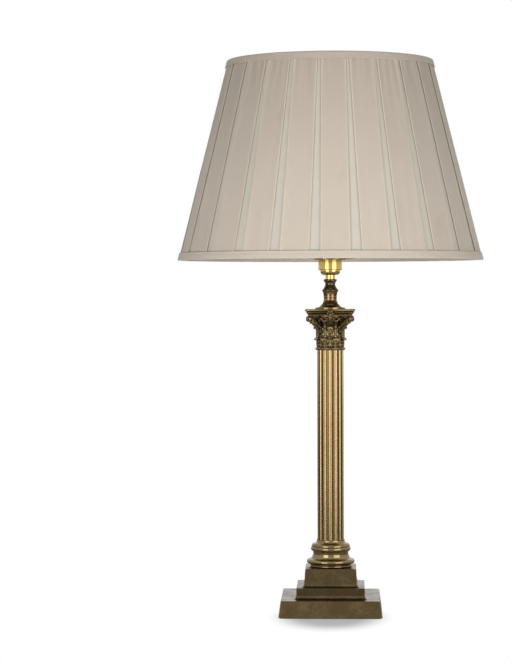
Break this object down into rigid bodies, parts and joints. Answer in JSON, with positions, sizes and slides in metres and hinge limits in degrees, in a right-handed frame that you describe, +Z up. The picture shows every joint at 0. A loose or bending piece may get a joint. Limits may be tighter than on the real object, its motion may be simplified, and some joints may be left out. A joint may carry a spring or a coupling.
{
  "type": "column table lamp",
  "caption": "Brass table lamp: fluted column with Corinthian capital on a stepped square plinth, under a box-pleated cloth empire shade.",
  "frame": {"origin": "centre of the underside, at the height of the surface the lamp stands on", "axes": "+Z up the column, -Y towards the front, +Y towards the cord bush in the back of the plinth"},
  "size_m": [0.3985, 0.3986, 0.7183],
  "materials": {
    "aged_brass": "aged",
    "polished_brass": "polished",
    "cast_iron": "as cast",
    "zinc_steel": "zinc plated",
    "fibreboard": "raw",
    "baize": "felted",
    "phenolic": "moulded",
    "spring_steel": "bright",
    "white_wire": "enamelled",
    "pleated_cloth": "woven",
    "lining_cloth": "woven",
    "band_cloth": "woven",
    "pearl_glass": "frosted",
    "lamp_cap": "drawn",
    "solder": "soft"
  },
  "bodies": {
    "base": {"plinth": "aged_brass", "ballast_weight": "cast_iron", "cover_board": "fibreboard", "baize_pad": "baize", "cord_bush": "aged_brass", "bush_nut": "aged_brass", "clamp_rod": "zinc_steel", "rod_washer": "zinc_steel", "earth_tag": "polished_brass", "rod_nut": "zinc_steel", "column_foot": "polished_brass", "fluted_shaft": "polished_brass", "capital": "aged_brass", "lamp_neck": "aged_brass", "holder_cap": "polished_brass", "holder_barrel": "polished_brass", "holder_insulator": "phenolic", "terminal_posts": "polished_brass", "terminal_screws": "zinc_steel", "plunger_springs": "spring_steel", "shade_ring_lower": "polished_brass", "shade_ring_upper": "polished_brass"},
    "carrier": {"carrier_plate": "polished_brass", "carrier_arms": "polished_brass", "carrier_gallery": "polished_brass"},
    "shade": {"duplex_ring": "white_wire", "duplex_arms": "white_wire", "frame_top_ring": "white_wire", "frame_bottom_ring": "white_wire", "frame_struts": "white_wire", "shade_lining": "lining_cloth", "shade_cover": "pleated_cloth", "shade_band_top": "band_cloth", "shade_band_bottom": "band_cloth"},
    "bulb": {"bulb_cap": "lamp_cap", "bulb_contacts": "solder", "bulb_glass": "pearl_glass", "bulb_stem": "pearl_glass", "bulb_filament": "spring_steel"},
    "contacts": {"contact_plungers": "polished_brass"}
  },
  "joints": [
    {"name": "carrier_turn", "type": "hinge", "parent": "base", "child": "carrier", "pos_m": [0, 0, 0.4621], "axis": [0, 0, 1], "continuous": true},
    {"name": "shade_lift", "type": "slide", "parent": "carrier", "child": "shade", "axis": [0, 0, 1], "range_m": [0, 0.16]},
    {"name": "bulb_push", "type": "slide", "parent": "base", "child": "bulb", "axis": [0, 0, 1], "range_m": [-0.0025, 0], "stiffness_N_per_m": 1000},
    {"name": "contacts_push", "type": "slide", "parent": "base", "child": "contacts", "axis": [0, 0, 1], "range_m": [-0.0025, 0], "deforming": ["plunger_springs"]}
  ],
  "couplings": [
    {"joint": "contacts_push", "follows": "bulb_push", "ratio": 1}
  ]
}
